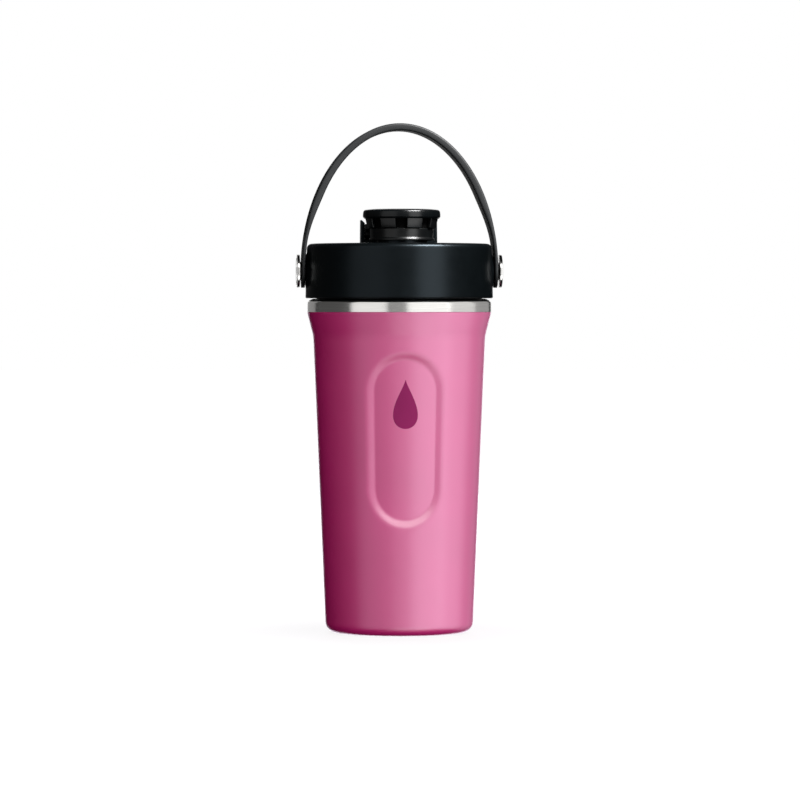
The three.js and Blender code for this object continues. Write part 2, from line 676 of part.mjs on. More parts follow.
function strapButton() {
  const socket = new THREE.CylinderGeometry(SOCKET_R, SOCKET_R, 2 * SOCKET_DEPTH, 6);
  socket.rotateX(Math.PI / 2);
  socket.translate(0, 0, BUTTON_X + HUB_T);
  return turned(BUTTON).subtract(solid(socket));
}

for (const [label, side] of [['left', -1], ['right', 1]]) {
  const pivot = new THREE.Group();
  pivot.position.set(0, 0, PIVOT_Z);
  pivot.rotation.y = (side * Math.PI) / 2;
  lid.add(pivot);
  add(`strap_post_${label}`, turned(POST, SMALL_STEPS), STEEL, pivot);
  add(`strap_bush_${label}`, turned(BUSH, SMALL_STEPS), BLACK, pivot);
  add(`strap_button_${label}`, strapButton(), STEEL, pivot);
}

export default root;
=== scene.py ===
"""Insulated protein shaker bottle: the looks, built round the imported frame. Metres, +Z up, front at -Y."""
import json
import math

import bpy
import bmesh
from mathutils import Matrix, Vector


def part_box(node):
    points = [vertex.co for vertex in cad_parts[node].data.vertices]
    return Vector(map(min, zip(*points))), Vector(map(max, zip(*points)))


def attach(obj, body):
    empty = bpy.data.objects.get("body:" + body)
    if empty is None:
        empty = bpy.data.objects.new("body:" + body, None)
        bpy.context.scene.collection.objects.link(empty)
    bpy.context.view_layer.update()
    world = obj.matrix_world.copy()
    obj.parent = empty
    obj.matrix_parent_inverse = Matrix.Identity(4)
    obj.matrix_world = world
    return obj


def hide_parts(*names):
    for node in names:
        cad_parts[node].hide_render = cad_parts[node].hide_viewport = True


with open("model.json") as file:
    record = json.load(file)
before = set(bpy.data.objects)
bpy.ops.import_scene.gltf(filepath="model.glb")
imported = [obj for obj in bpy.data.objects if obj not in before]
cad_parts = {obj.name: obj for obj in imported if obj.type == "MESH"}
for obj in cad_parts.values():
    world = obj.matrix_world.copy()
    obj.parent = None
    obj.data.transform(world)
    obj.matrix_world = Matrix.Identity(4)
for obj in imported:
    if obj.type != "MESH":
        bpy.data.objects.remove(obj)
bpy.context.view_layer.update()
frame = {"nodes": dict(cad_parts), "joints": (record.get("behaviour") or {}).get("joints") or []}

MM = 0.001
COLUMNS = 256  # faces round a turned piece
ARC_STEPS = 6  # steps round a filleted corner
GAP = 0.3  # mm between pieces that meet
SPOUT_R, SPOUT_BORE_R = 12.6, 11.0  # mm
PIVOT_HOLE_R = 4.9  # mm, round each strap bush
HINGE_HOLE_R = 1.3  # mm, round the cap's pin

# ---- what the frame says --------------------------------------------------------------------------
JOINTS = {joint["name"]: joint for joint in frame["joints"]}
PIVOT_Z = JOINTS["strap_swing"]["pos_m"][2]
HINGE_Y, HINGE_Z = JOINTS["cap_swing"]["pos_m"][1:]
PITCH = 4 * MM


def top_of(node):
    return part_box(node)[1].z


def foot_of(node):
    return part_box(node)[0].z


def reach_of(node):
    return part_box(node)[1].x


COAT_TOP_Z = top_of("outer_shell") + 0.5 * MM
COAT_TOP_R = reach_of("outer_shell")
RIM_TOP_Z = top_of("inner_liner")
RIM_R = reach_of("inner_liner")
SKIRT_Z = foot_of("lid_cover")
SKIRT_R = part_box("lid_cover")[1].y
LID_TOP_Z = HINGE_Z - 4.8 * MM
SPOUT_Y = sum(v.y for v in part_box("spout_tube")) / 2
SPOUT_TOP_Z = top_of("spout_tube")
PLUG_BOTTOM_Z = top_of("mixing_grid") + GAP * MM
CAP_TOP_Z = top_of("spout_cap") - 0.4 * MM
CAP_R = reach_of("spout_cap")
AT_SPOUT = Matrix.Translation((0, SPOUT_Y, 0))
SLEEVE_R = reach_of("cap_sleeve")
SLEEVE_Z = foot_of("cap_sleeve")
STRAP_TOP_Z = top_of("carry_strap")
STRAP_REACH = reach_of("carry_strap")
STRAP_HALF_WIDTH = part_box("carry_strap")[1].y
BUTTON_BACK = STRAP_REACH + 1.0 * MM


# ---- mesh building --------------------------------------------------------------------------------
def rounded_corner(before, corner, after, radius):
    """Points of the arc that rounds one corner of an outline."""
    to_before = (before - corner).normalized()
    to_after = (after - corner).normalized()
    half = to_before.angle(to_after) / 2
    cut = min(radius / math.tan(half), 0.49 * (before - corner).length, 0.49 * (after - corner).length)
    radius = cut * math.tan(half)
    centre = corner + (to_before + to_after).normalized() * radius / math.sin(half)
    start = corner + to_before * cut - centre
    end = corner + to_after * cut - centre
    sweep = math.atan2(start.x * end.y - start.y * end.x, start.dot(end))
    points = []
    for i in range(ARC_STEPS + 1):
        points.append(centre + Matrix.Rotation(sweep * i / ARC_STEPS, 2) @ start)
    return points


def outline(corners, closed=False, spacing=None):
    """Turns corners (a, b) or (a, b, fillet), in millimetres, into a smooth outline in metres."""
    raw = [Vector((c[0] * MM, c[1] * MM)) for c in corners]
    points = []
    count = len(raw)
    for i, corner in enumerate(corners):
        inside = closed or 0 < i < count - 1
        if len(corner) == 3 and inside:
            points += rounded_corner(raw[i - 1], raw[i], raw[(i + 1) % count], corner[2] * MM)
        else:
            points.append(raw[i])
    if spacing is None:
        return points
    dense = []
    stretch = len(points) if closed else len(points) - 1
    for i in range(stretch):
        a, b = points[i], points[(i + 1) % len(points)]
        pieces = max(1, round((b - a).length / (spacing * MM)))
        dense += [a.lerp(b, k / pieces) for k in range(pieces)]
    return dense if closed else dense + [points[-1]]


class Plan:
    """Vertices and faces of one mesh while it is being built."""

    def __init__(self):
        self.verts = []
        self.faces = []

    def add(self, verts, faces):
        base = len(self.verts)
        self.verts += verts
        self.faces += [tuple(base + i for i in face) for face in faces]

    def build(self, name, sharp=40):
        mesh = bpy.data.meshes.new(name)
        mesh.from_pydata([tuple(v) for v in self.verts], [], self.faces)
        mesh.validate()
        work = bmesh.new()
        work.from_mesh(mesh)
        bmesh.ops.remove_doubles(work, verts=work.verts, dist=1e-7)
        bmesh.ops.recalc_face_normals(work, faces=work.faces)
        work.to_mesh(mesh)
        work.free()
        obj = bpy.data.objects.new(name, mesh)
        bpy.context.scene.collection.objects.link(obj)
        smooth(obj, sharp)
        return obj


def smooth(obj, sharp=40):
    obj.data.shade_smooth()
    obj.data.set_sharp_from_angle(angle=math.radians(sharp))


def revolved(rows, columns=COLUMNS, closed=False, warp=None, place=None):
    """A plan of rows (radius, height) turned about Z. Open rows start and end on the axis."""
    plan = Plan()
    verts = []
    ring_of = []
    for row in rows:
        if row.x < 1e-7:
            ring_of.append([len(verts)] * columns)
            verts.append(Vector((0, 0, row.y)))
            continue
        ring_of.append(list(range(len(verts), len(verts) + columns)))
        for j in range(columns):
            angle = 2 * math.pi * j / columns
            verts.append(Vector((row.x * math.cos(angle), row.x * math.sin(angle), row.y)))
    faces = []
    for i in range(len(rows) if closed else len(rows) - 1):
        low, high = ring_of[i], ring_of[(i + 1) % len(rows)]
        for j in range(columns):
            k = (j + 1) % columns
            corners = []
            for vertex in (low[j], low[k], high[k], high[j]):
                if vertex not in corners:
                    corners.append(vertex)
            if len(corners) > 2:
                faces.append(corners)
    if warp:
        verts = [warp(v) for v in verts]
    if place:
        verts = [place @ v for v in verts]
    plan.add(verts, faces)
    return plan


def prism(points, half, axis):
    """A plan of an outline pushed both ways along an axis: drawn in (y, z) for X and in (x, z) for Y."""
    verts = []
    for side in (-half, half):
        for p in points:
            verts.append(Vector((side, p.x, p.y)) if axis == "X" else Vector((p.x, side, p.y)))
    count = len(points)
    faces = [tuple(range(count)), tuple(range(2 * count - 1, count - 1, -1))]
    for i in range(count):
        k = (i + 1) % count
        faces.append((i, k, count + k, count + i))
    plan = Plan()
    plan.add(verts, faces)
    return plan


def applied(obj):
    """Applies the object's modifiers to its mesh."""
    bpy.context.view_layer.update()
    mesh = bpy.data.meshes.new_from_object(obj.evaluated_get(bpy.context.evaluated_depsgraph_get()))
    obj.modifiers.clear()
    obj.data = mesh
    smooth(obj)
    return obj


def combine(obj, other, operation):
    step = obj.modifiers.new("combine", "BOOLEAN")
    step.operation = operation
    step.solver = "EXACT"
    step.object = other
    applied(obj)
    bpy.data.objects.remove(other)
    return obj


def bevelled(obj, width, segments=3, limit=35):
    step = obj.modifiers.new("edge", "BEVEL")
    step.width = width * MM
    step.segments = segments
    step.limit_method = "ANGLE"
    step.angle_limit = math.radians(limit)
    step.harden_normals = False
    return applied(obj)


def smoothstep(low, high, value):
    t = min(1.0, max(0.0, (value - low) / (high - low)))
    return t * t * (3 - 2 * t)


def ridge_plan(root_r, crest_r, start_z, turns=400 / 360, steps=220):
    """A helical thread ridge that fades out at both ends. Radii and height in metres."""
    rise = (-0.95, -0.45, -0.25, 0.25, 0.45, 0.95)
    out = (-0.25, 0.86, 1.0, 1.0, 0.86, -0.25)
    verts = []
    faces = []
    for i in range(steps + 1):
        along = i / steps
        fade = min(1.0, along * 10 + 0.02, (1 - along) * 10 + 0.02)
        angle = 2 * math.pi * turns * along
        for z, x in zip(rise, out):
            height = x * fade if x > 0 else x
            radius = root_r + (crest_r - root_r) * height
            lift = start_z + z * MM + PITCH * turns * along
            verts.append(Vector((radius * math.cos(angle), radius * math.sin(angle), lift)))
    width = len(rise)
    for i in range(steps):
        for j in range(width):
            k = (j + 1) % width
            faces.append((i * width + j, i * width + k, (i + 1) * width + k, (i + 1) * width + j))
    faces.append(tuple(range(width)))
    faces.append(tuple(range(steps * width + width - 1, steps * width - 1, -1)))
    plan = Plan()
    plan.add(verts, faces)
    return plan


# ---- materials ------------------------------------------------------------------------------------
class Look:
    """One procedural material: a Principled shader with noise for its colour, roughness and grain."""

    def __init__(self, name, roughness, metallic=0.0, **sockets):
        self.material = bpy.data.materials.new(name)
        self.material.use_nodes = True
        self.tree = self.material.node_tree
        self.shader = self.tree.nodes["Principled BSDF"]
        self.shader.inputs["Roughness"].default_value = roughness
        self.shader.inputs["Metallic"].default_value = metallic
        for socket, value in sockets.items():
            self.shader.inputs[socket.replace("_", " ")].default_value = value
        self.place = self.tree.nodes.new("ShaderNodeTexCoord").outputs["Object"]

    def noise(self, size_mm, stretch=(1, 1, 1), detail=3.0):
        """Noise whose features are about size_mm across, drawn out along the axes in stretch."""
        mapping = self.tree.nodes.new("ShaderNodeMapping")
        mapping.inputs["Scale"].default_value = [1 / (size_mm * MM * s) for s in stretch]
        self.tree.links.new(self.place, mapping.inputs["Vector"])
        noise = self.tree.nodes.new("ShaderNodeTexNoise")
        noise.inputs["Scale"].default_value = 1.0
        noise.inputs["Detail"].default_value = detail
        self.tree.links.new(mapping.outputs["Vector"], noise.inputs["Vector"])
        return noise.outputs["Fac"]

    def colour(self, dark, light, fac):
        ramp = self.tree.nodes.new("ShaderNodeValToRGB")
        ramp.color_ramp.elements[0].position = 0.3
        ramp.color_ramp.elements[0].color = (*dark, 1)
        ramp.color_ramp.elements[1].position = 0.7
        ramp.color_ramp.elements[1].color = (*light, 1)
        self.tree.links.new(fac, ramp.inputs["Fac"])
        self.tree.links.new(ramp.outputs["Color"], self.shader.inputs["Base Color"])
        return self

    def rough(self, low, high, fac):
        spread = self.tree.nodes.new("ShaderNodeMapRange")
        spread.inputs["To Min"].default_value = low
        spread.inputs["To Max"].default_value = high
        self.tree.links.new(fac, spread.inputs["Value"])
        self.tree.links.new(spread.outputs["Result"], self.shader.inputs["Roughness"])
        return self

    def bump(self, height_mm, *facs):
        """Grain of a real height, one layer on another."""
        below = None
        for height, fac in zip(height_mm, facs):
            bump = self.tree.nodes.new("ShaderNodeBump")
            bump.inputs["Strength"].default_value = 1.0
            bump.inputs["Distance"].default_value = height * MM
            self.tree.links.new(fac, bump.inputs["Height"])
            if below:
                self.tree.links.new(below, bump.inputs["Normal"])
            below = bump.outputs["Normal"]
        self.tree.links.new(below, self.shader.inputs["Normal"])
        return self


def powder_coat(name, dark, light, coat_ior=2.3):
    """A satin coat whose fine grain scatters a wide, milky highlight."""
    look = Look(name, 0.5, Coat_Weight=1.0, Coat_IOR=coat_ior, Coat_Roughness=0.37)
    look.colour(dark, light, look.noise(30, detail=2.0))
    look.rough(0.38, 0.46, look.noise(2.5))
    return look.bump((0.008, 0.004), look.noise(0.7), look.noise(0.22)).material


def brushed_steel(name, stretch, colour=(0.8, 0.785, 0.76)):
    look = Look(name, 0.24, metallic=1.0)
    shade = [c * 0.86 for c in colour]
    lines = look.noise(0.25, stretch, detail=4.0)
    look.colour(shade, colour, lines)
    look.rough(0.14, 0.24, look.noise(0.5, stretch))
    return look.bump((0.0015, 0.0008), lines, look.noise(0.08, stretch)).material


def moulded(name, dark, light, low, high, grain=0.004, size=0.35, **sockets):
    look = Look(name, (low + high) / 2, **sockets)
    look.colour(dark, light, look.noise(12, detail=2.0))
    look.rough(low, high, look.noise(4))
    return look.bump((grain, grain / 2), look.noise(size), look.noise(size / 3)).material


COAT = powder_coat("powder_coat_magenta", (0.49, 0.003, 0.13), (0.525, 0.004, 0.142))
RING_STEEL = brushed_steel("steel_ring_brushed", (60, 60, 1))
BUTTON_STEEL = brushed_steel("steel_button", (1, 6, 6), (0.84, 0.83, 0.81))
COOL = (0.72, 0.88, 1.0, 1.0)
LID_BLACK = moulded(
    "lid_satin_black", (0.0014, 0.002, 0.0023), (0.002, 0.0028, 0.0032), 0.28, 0.36,
    Specular_IOR_Level=0.3, Specular_Tint=COOL)
CAP_BLACK = moulded(
    "cap_satin_black", (0.0016, 0.0022, 0.0026), (0.0026, 0.0034, 0.0038), 0.2, 0.27, 0.002,
    Specular_IOR_Level=0.4)
GLOSS_BLACK = moulded(
    "gloss_black", (0.002, 0.0024, 0.0026), (0.003, 0.0036, 0.0038), 0.26, 0.34, 0.001,
    Specular_IOR_Level=0.5)
# Near-black and barely reflecting: painted shade, worn by the ring that darkens the gaps between the grip
# teeth.
GAP_SHADE_BLACK = moulded(
    "gap_shade_matt_black", (0.001, 0.001, 0.001), (0.0016, 0.0016, 0.0016), 0.8, 0.9,
    Specular_IOR_Level=0.05)
MARK = moulded(
    "mark_dark_magenta", (0.215, 0.012, 0.078), (0.24, 0.014, 0.088), 0.5, 0.6,
    Specular_IOR_Level=0.12)
STRAP_BLACK = moulded("strap_elastomer", (0.007, 0.008, 0.009), (0.011, 0.012, 0.013), 0.48, 0.58, 0.01, 0.5)
SILICONE = moulded("dark_silicone", (0.02, 0.02, 0.022), (0.03, 0.03, 0.032), 0.55, 0.65, 0.004, 0.5)
FOAM = moulded("white_foam", (0.72, 0.7, 0.66), (0.82, 0.8, 0.76), 0.85, 0.95, 0.15, 1.6)
BEAD = moulded("solder_glass", (0.10, 0.11, 0.10), (0.16, 0.18, 0.16), 0.1, 0.2, 0.002)


def piece(obj, body, slot, material, *nodes):
    """Gives a built object its material and its body, and hides the CAD nodes it stands for; the slot is not
    used.
    """
    obj.data.materials.clear()
    obj.data.materials.append(material)
    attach(obj, body)
    if nodes:
        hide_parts(*nodes)
    return obj


# ---- cup ------------------------------------------------------------------------------------------
GRIP_CENTRE_Z = 97.2 * MM
GRIP_DEPTH = 1.75 * MM
GRIP_FLOOR_HALF = 15.9 * MM
GRIP_FLOOR_TALL = 39.6 * MM
# How far from the edge of the recess floor, in mm, its wall starts, is steep, eases off and ends.
GRIP_FOOT, GRIP_STEEP, GRIP_EASE, GRIP_REACH = -0.4, 0.6, 2.0, 5.6
GRIP_STEPS = 110
GRIP_LOW_Z, GRIP_HIGH_Z = 40 * MM, 150 * MM  # the stretch of the shell that can be pressed
BODY_R = 41 * MM
UNDERSIDE_R = 30 * MM
BASE_R, BASE_FILLET = 36.8, 6.4  # mm
FLARE_R, FLARE_Z = 43.05, 148.2  # mm, where the taper turns out into the flare


def grip_profile():
    """Share of the recess depth against the distance from its floor: steep at the floor, easing outwards."""
    step = (GRIP_REACH - GRIP_FOOT) / GRIP_STEPS
    heights = [0.0]
    for i in range(GRIP_STEPS):
        at = GRIP_FOOT + (i + 0.5) * step
        slope = smoothstep(GRIP_FOOT, GRIP_STEEP, at) * (1 - smoothstep(GRIP_EASE, GRIP_REACH, at))
        heights.append(heights[-1] + slope)
    return [1 - h / heights[-1] for h in heights]


GRIP_PROFILE = grip_profile()


def grip_depth(v):
    """How deep the pressed grip recess is at a point of the shell, front and back alike."""
    turn = math.atan2(v.x, -v.y)
    turn = (turn + math.pi / 2) % math.pi - math.pi / 2
    across = abs(turn) * BODY_R
    up = max(0.0, abs(v.z - GRIP_CENTRE_Z) - (GRIP_FLOOR_TALL - GRIP_FLOOR_HALF))
    outside = (math.hypot(across, up) - GRIP_FLOOR_HALF) / MM
    place = (outside - GRIP_FOOT) / (GRIP_REACH - GRIP_FOOT) * GRIP_STEPS
    place = min(GRIP_STEPS - 1e-6, max(0.0, place))
    low = int(place)
    return GRIP_DEPTH * (GRIP_PROFILE[low] + (GRIP_PROFILE[low + 1] - GRIP_PROFILE[low]) * (place - low))


def pressed(v):
    flat = Vector((v.x, v.y, 0))
    if flat.length < UNDERSIDE_R or not GRIP_LOW_Z <= v.z <= GRIP_HIGH_Z:
        return v
    return v - flat.normalized() * grip_depth(v)


def coated_shell():
    top = COAT_TOP_Z / MM
    rim = COAT_TOP_R / MM
    corners = [
        (26.6, 0.0, 0.3), (BASE_R, 0.0, BASE_FILLET), (FLARE_R, FLARE_Z, 22), (rim - 0.02, top, 0.25),
        (rim - 0.8, top, 0.2), (42.2, 147.5, 20), (40.3, 140), (36.0, 20), (34.6, 1.2, 6), (26.6, 1.2, 0.3),
    ]
    rows = outline(corners, closed=True, spacing=0.8)
    return revolved(rows, columns=512, closed=True, warp=pressed).build("coated_shell", 60)


piece(coated_shell(), "cup", "powder_coat", COAT, "outer_shell")


MOUTH_R = 42.0  # mm
LINER_FLOOR_Z = 6.8  # mm


def steel_liner():
    """The inner cup: a tapered can, a shoulder for the seal, the mouth and the domed bare rim."""
    rim_z, rim_r = RIM_TOP_Z / MM, RIM_R / MM
    skirt_z = COAT_TOP_Z / MM + 0.03
    floor_z = LINER_FLOOR_Z
    corners = [
        (0, floor_z), (33.6, floor_z, 7.2), (39.4, 151.0, 0.6), (39.9, 151.5, 0.3), (MOUTH_R, 151.5, 0.8),
        (MOUTH_R, rim_z + 1.1, 0.6), (43.4, rim_z + 0.9, 3), (rim_r, rim_z - 0.2, 1.9),
        (rim_r, skirt_z, 0.1), (45.3, skirt_z, 0.1), (45.3, rim_z - 0.9, 0.8),
        (MOUTH_R + 0.6, rim_z - 0.8, 0.3), (MOUTH_R + 0.6, 151.9, 0.3), (41.6, 150.7, 0.3),
        (40.2, 150.7, 0.5), (34.4, floor_z - 0.8, 8.0), (0, floor_z - 0.8),
    ]
    plan = revolved(outline(corners, spacing=4), columns=256)
    liner = plan.build("steel_liner", 60)
    ridge = ridge_plan(MOUTH_R * MM, 40.6 * MM, 158.8 * MM).build("liner_ridge")
    return combine(liner, ridge, "UNION")


piece(steel_liner(), "cup", "steel", RING_STEEL, "inner_liner")


def base_parts():
    """What is under and inside the base: the dished plate, its cover disc, the port bead and the getter."""
    dish = [
        (1.8, 1.6), (24.4, 1.6, 0.4), (25.4, 0.6, 0.3), (26.3, 0.6, 0.2), (26.3, 1.6, 0.3),
        (25.2, 2.4, 0.4), (1.8, 2.4),
    ]
    plate = revolved(outline(dish, True, 2), closed=True).build("base_dish")
    piece(plate, "cup", "powder_coat", COAT, "base_plate")
    disc = [(0, 0.6), (11.0, 0.6, 0.15), (11.0, 1.0, 0.1), (10.6, 1.3, 0.1), (0, 1.3)]
    cover = revolved(outline(disc, spacing=1.5)).build("base_disc")
    piece(cover, "cup", "steel", BUTTON_STEEL, "base_cover_disc")
    bead = [(0, 1.6), (1.4, 1.6, 0.4), (1.4, 2.7, 0.9), (0, 3.1)]
    port = revolved(outline(bead), 48).build("port_bead")
    piece(port, "cup", "solder_glass", BEAD, "vacuum_port_bead")
    place = Matrix.Translation((15 * MM, 0, 0))
    pill = [(0, 2.7), (5.0, 2.7, 0.4), (5.0, 5.0, 0.8), (0, 5.0)]
    getter = revolved(outline(pill), 64, place=place).build("getter_pill")
    piece(getter, "cup", "steel", BUTTON_STEEL, "vacuum_getter")


base_parts()

# The generic mark in the grip recess: a plain drop, inlaid in the coat.
DROP_Z = 115 * MM
DROP_HALF = 9.2 * MM
DROP_TALL = 1.32  # its half height against DROP_HALF
DROP_PROUD = 0.06 * MM
DROP_THICK = 0.25 * MM
DROP_CUTS = 9  # cuts each way from its middle, so that it can follow the round wall
WALL_LOW = (36.97, BASE_FILLET)  # mm: radius and height at the two ends of the wall it lies on
WALL_HIGH = (FLARE_R, 147.5)


def drop_mark():
    """A drop outline laid on the recess floor: a round belly drawn up to a point."""
    steps = 96
    edge = []
    for i in range(steps):
        t = 2 * math.pi * i / steps
        pinch = math.sin(t / 2) ** 1.6
        edge.append(Vector((DROP_HALF * math.sin(t) * pinch, DROP_HALF * DROP_TALL * math.cos(t))))
    work = bmesh.new()
    face = work.faces.new([work.verts.new((p.x, 0, p.y)) for p in edge])
    bmesh.ops.triangulate(work, faces=[face])
    for i in range(-DROP_CUTS, DROP_CUTS + 1):
        for step, normal in ((0.75 * MM, Vector((1, 0, 0))), (1.3 * MM, Vector((0, 0, 1)))):
            everything = work.verts[:] + work.edges[:] + work.faces[:]
            at = normal * (i * step)
            bmesh.ops.bisect_plane(work, geom=everything, plane_co=at, plane_no=normal)
    made = bmesh.ops.extrude_face_region(work, geom=work.faces[:])
    for element in made["geom"]:
        if isinstance(element, bmesh.types.BMVert):
            element.co.y = DROP_THICK
    taper = (WALL_HIGH[0] - WALL_LOW[0]) / (WALL_HIGH[1] - WALL_LOW[1])
    for v in work.verts:
        z = DROP_Z + v.co.z
        wall = WALL_LOW[0] + (z / MM - WALL_LOW[1]) * taper
        radius = wall * MM - GRIP_DEPTH + DROP_PROUD - v.co.y
        angle = v.co.x / BODY_R
        v.co = Vector((radius * math.sin(angle), -radius * math.cos(angle), z))
    bmesh.ops.recalc_face_normals(work, faces=work.faces)
    mesh = bpy.data.meshes.new("drop_mark")
    work.to_mesh(mesh)
    work.free()
    obj = bpy.data.objects.new("drop_mark", mesh)
    bpy.context.scene.collection.objects.link(obj)
    smooth(obj, 50)
    return obj


piece(drop_mark(), "cup", "powder_coat", MARK)

# ---- lid ------------------------------------------------------------------------------------------
BOSS_FACE = reach_of("lid_cover") - 0.7 * MM
BOSS_R = 7.6 * MM
BOSS_BLEND = 1.8 * MM
TOWER_IN, TOWER_OUT = 17.2, 19.1  # mm: faces of the hinge towers, from the middle
TOWER_TOP, TOWER_HALF_DEPTH = 206.9, 4.0
CRADLE_HALF = 4.8  # mm: the two blocks under the ends of the cap's barrel
CRADLE_FRONT, CRADLE_BED, CRADLE_REAR = 196.6, 196.0, 195.4


def bossed(v):
    """Draws the skirt out to a flat round pad at each strap pivot, softly blended."""
    outer = math.hypot(v.x, v.y)
    pull = smoothstep(44.8 * MM, 45.4 * MM, outer) * smoothstep(20 * MM, 30 * MM, abs(v.x))
    pull *= 1 - smoothstep(BOSS_R - 0.6 * MM, BOSS_R + BOSS_BLEND, math.hypot(v.y, v.z - PIVOT_Z))
    target = math.copysign(BOSS_FACE, v.x)
    return Vector((v.x + (target - v.x) * pull, v.y, v.z))


def pivot_frame(side):
    """Carries an outline of (radius, distance from the bottle's axis) to a strap pivot."""
    return Matrix.Translation((0, 0, PIVOT_Z)) @ Matrix.Rotation(side * math.pi / 2, 4, "Y")


HINGE_FRAME = Matrix.Translation((0, HINGE_Y, HINGE_Z)) @ Matrix.Rotation(math.pi / 2, 4, "Y")


def rod(radius, low, high, place, columns=96):
    """A plain round cutter, in millimetres, along the Z of the place."""
    side = outline([(0, low), (radius, low), (radius, high), (0, high)])
    return revolved(side, columns, place=place).build("rod")


def lid_shell():
    """The lid's outer moulding, with its strap bosses, hinge towers and barrel cradle."""
    top, foot = LID_TOP_Z / MM, SKIRT_Z / MM
    skirt = SKIRT_R / MM
    corners = [
        (0, top), (skirt - 0.76, top, 2.4), (skirt, foot, 0.7), (skirt - 2.4, foot, 0.3),
        (skirt - 3.1, top - 2.4, 1.6), (0, top - 2.4),
    ]
    rows = outline(corners, spacing=1.2)
    shell = revolved(rows, columns=384, warp=bossed).build("lid_shell", 50)
    combine(shell, rod(SPOUT_R + 2 * GAP, top - 9, top + 9, AT_SPOUT, 128), "DIFFERENCE")
    for side in (-1, 1):
        tower = [
            (side * TOWER_IN, top - 1), (side * (TOWER_OUT + 0.15), top - 1),
            (side * TOWER_OUT, TOWER_TOP, 0.25), (side * (TOWER_IN + 1.0), TOWER_TOP - 0.9, 0.5),
            (side * TOWER_IN, TOWER_TOP - 1.9, 0.5),
        ]
        post = prism(outline(tower, True), TOWER_HALF_DEPTH * MM, "Y").build("post", 30)
        post.data.transform(Matrix.Translation((0, HINGE_Y, 0)))
        combine(shell, bevelled(post, 0.3), "UNION")
        combine(shell, rod(PIVOT_HOLE_R, 41, 50, pivot_frame(side)), "DIFFERENCE")
    y = HINGE_Y / MM
    cradle = [
        (y - 3.9, top - 1), (y + 3.9, top - 1), (y + 3.9, CRADLE_REAR, 0.5),
        (y + 2.4, CRADLE_REAR + 0.3, 0.3), (y + 1.2, CRADLE_BED), (y - 1.2, CRADLE_BED),
        (y - 2.4, CRADLE_FRONT, 0.3), (y - 3.9, CRADLE_FRONT, 0.5),
    ]
    for side in (-1, 1):
        block = prism(outline(cradle, True), CRADLE_HALF * MM, "X").build("cradle", 30)
        block.data.transform(Matrix.Translation((side * (TOWER_IN - CRADLE_HALF + 0.3) * MM, 0, 0)))
        combine(shell, block, "UNION")
    return combine(shell, rod(HINGE_HOLE_R, -18.6, 18.6, HINGE_FRAME, 32), "DIFFERENCE")


piece(lid_shell(), "lid", "lid_black", LID_BLACK, "lid_cover")


def plug():
    """The inner moulding that screws into the mouth."""
    foot, rim = PLUG_BOTTOM_Z / MM, RIM_TOP_Z / MM
    corners = [
        (0, foot), (34.6, foot, 0.2), (34.6, foot - 2.4, 0.4), (35.8, foot - 2.4, 0.4), (35.8, foot, 0.2),
        (38.7, foot, 0.8), (38.7, 153.5, 0.3), (40.0, 153.5, 0.4), (40.0, rim - 1.5, 0.3),
        (41.5, rim - 0.7, 0.4), (41.5, 169.6, 0.5), (44.2, 169.6, 0.3), (44.2, 171.4, 0.3),
        (38.0, 171.4, 0.3), (38.0, foot + 2, 2.2), (0, foot + 2),
    ]
    body = revolved(outline(corners, spacing=4), columns=224).build("threaded_plug", 50)
    combine(body, ridge_plan(40 * MM, 41.4 * MM, 156.8 * MM).build("plug_ridge"), "UNION")
    return combine(body, rod(SPOUT_R + GAP, foot - 5, foot + 9, AT_SPOUT), "DIFFERENCE")


def spout():
    """The drinking spout: a tube with a foot flange under the plug."""
    foot, tip = PLUG_BOTTOM_Z / MM - GAP, SPOUT_TOP_Z / MM
    corners = [
        (SPOUT_BORE_R, foot - 1.2, 0.3), (15.0, foot - 1.2, 0.3), (15.0, foot, 0.3), (SPOUT_R, foot, 0.1),
        (SPOUT_R, tip, 0.75), (SPOUT_BORE_R, tip, 0.75),
    ]
    return revolved(outline(corners, True, 3), closed=True, place=AT_SPOUT).build("pour_spout", 50)


piece(plug(), "lid", "lid_black", LID_BLACK, "lid_plug")
piece(spout(), "lid", "lid_black", LID_BLACK, "spout_tube")


